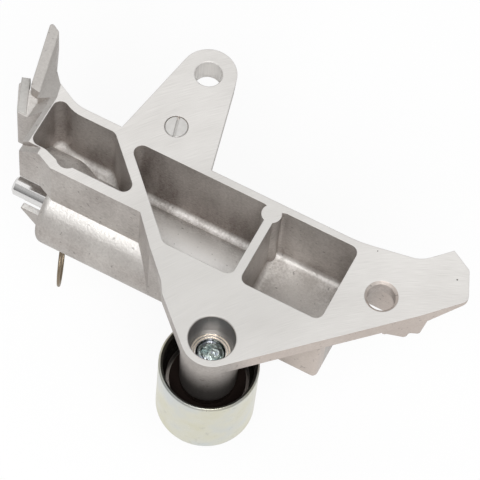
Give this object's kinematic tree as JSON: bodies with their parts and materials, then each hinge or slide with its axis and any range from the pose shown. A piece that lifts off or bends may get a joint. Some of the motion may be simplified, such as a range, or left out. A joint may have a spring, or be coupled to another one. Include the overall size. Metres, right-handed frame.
{
  "type": "timing belt damper",
  "caption": "Cast aluminium timing belt damper: bolt-on bracket with cored pockets, hydraulic plunger held by a lock pin with pull ring, and a belt roller on its lower corner.",
  "frame": {"origin": "Centre of the upper bolt hole, on the machined mounting face.", "axes": "+Z points out of the machined face, towards the engine it is bolted to. The plunger's rod comes out towards -X."},
  "size_m": [0.1546, 0.1019, 0.0613],
  "materials": {
    "cast_aluminium": "matte",
    "zinc_steel": "satin",
    "polished_steel": "gloss",
    "dark_steel": "satin",
    "brown_steel": "satin",
    "black_rubber": "matte",
    "brown_rubber": "matte",
    "cage_plastic": "matte"
  },
  "bodies": {
    "housing": {"bracket_housing": "cast_aluminium", "slotted_plug": "zinc_steel", "pressure_sleeve": "dark_steel", "rod_guide": "dark_steel", "rod_seal": "black_rubber", "snap_ring": "dark_steel", "return_spring": "dark_steel", "bearing_inner_ring": "polished_steel", "roller_bolt": "zinc_steel"},
    "rod": {"piston_rod": "polished_steel", "piston": "polished_steel", "check_ball": "polished_steel", "valve_cage": "zinc_steel"},
    "pin": {"lock_pin": "brown_steel"},
    "ring": {"lock_ring": "brown_steel"},
    "roller": {"roller_shell": "zinc_steel", "bearing_outer_ring": "polished_steel", "front_seal": "brown_rubber", "rear_seal": "brown_rubber"},
    "cage": {"ball_cage": "cage_plastic", "bearing_balls": "polished_steel"}
  },
  "joints": [
    {"name": "rod_slide", "type": "slide", "parent": "housing", "child": "rod", "axis": [-1, 0, 0], "range_m": [0, 0.009]},
    {"name": "lock_pin_pull", "type": "slide", "parent": "housing", "child": "pin", "axis": [0, -0.0698, -0.9976], "range_m": [0, 0.0306]},
    {"name": "lock_ring_swing", "type": "hinge", "parent": "pin", "child": "ring", "pos_m": [-0.0237, -0.04833, -0.05115], "axis": [0.9272, 0.3746, 0], "range_deg": [0, 110]},
    {"name": "roller_spin", "type": "hinge", "parent": "housing", "child": "roller", "pos_m": [0.042, -0.078, -0.035], "axis": [0, 0, 1], "continuous": true},
    {"name": "cage_spin", "type": "hinge", "parent": "housing", "child": "cage", "pos_m": [0.042, -0.078, -0.035], "axis": [0, 0, 1], "continuous": true}
  ],
  "couplings": [
    {"joint": "lock_pin_pull", "follows": "rod_slide", "ratio": 3.4},
    {"joint": "cage_spin", "follows": "roller_spin", "ratio": 0.646}
  ]
}
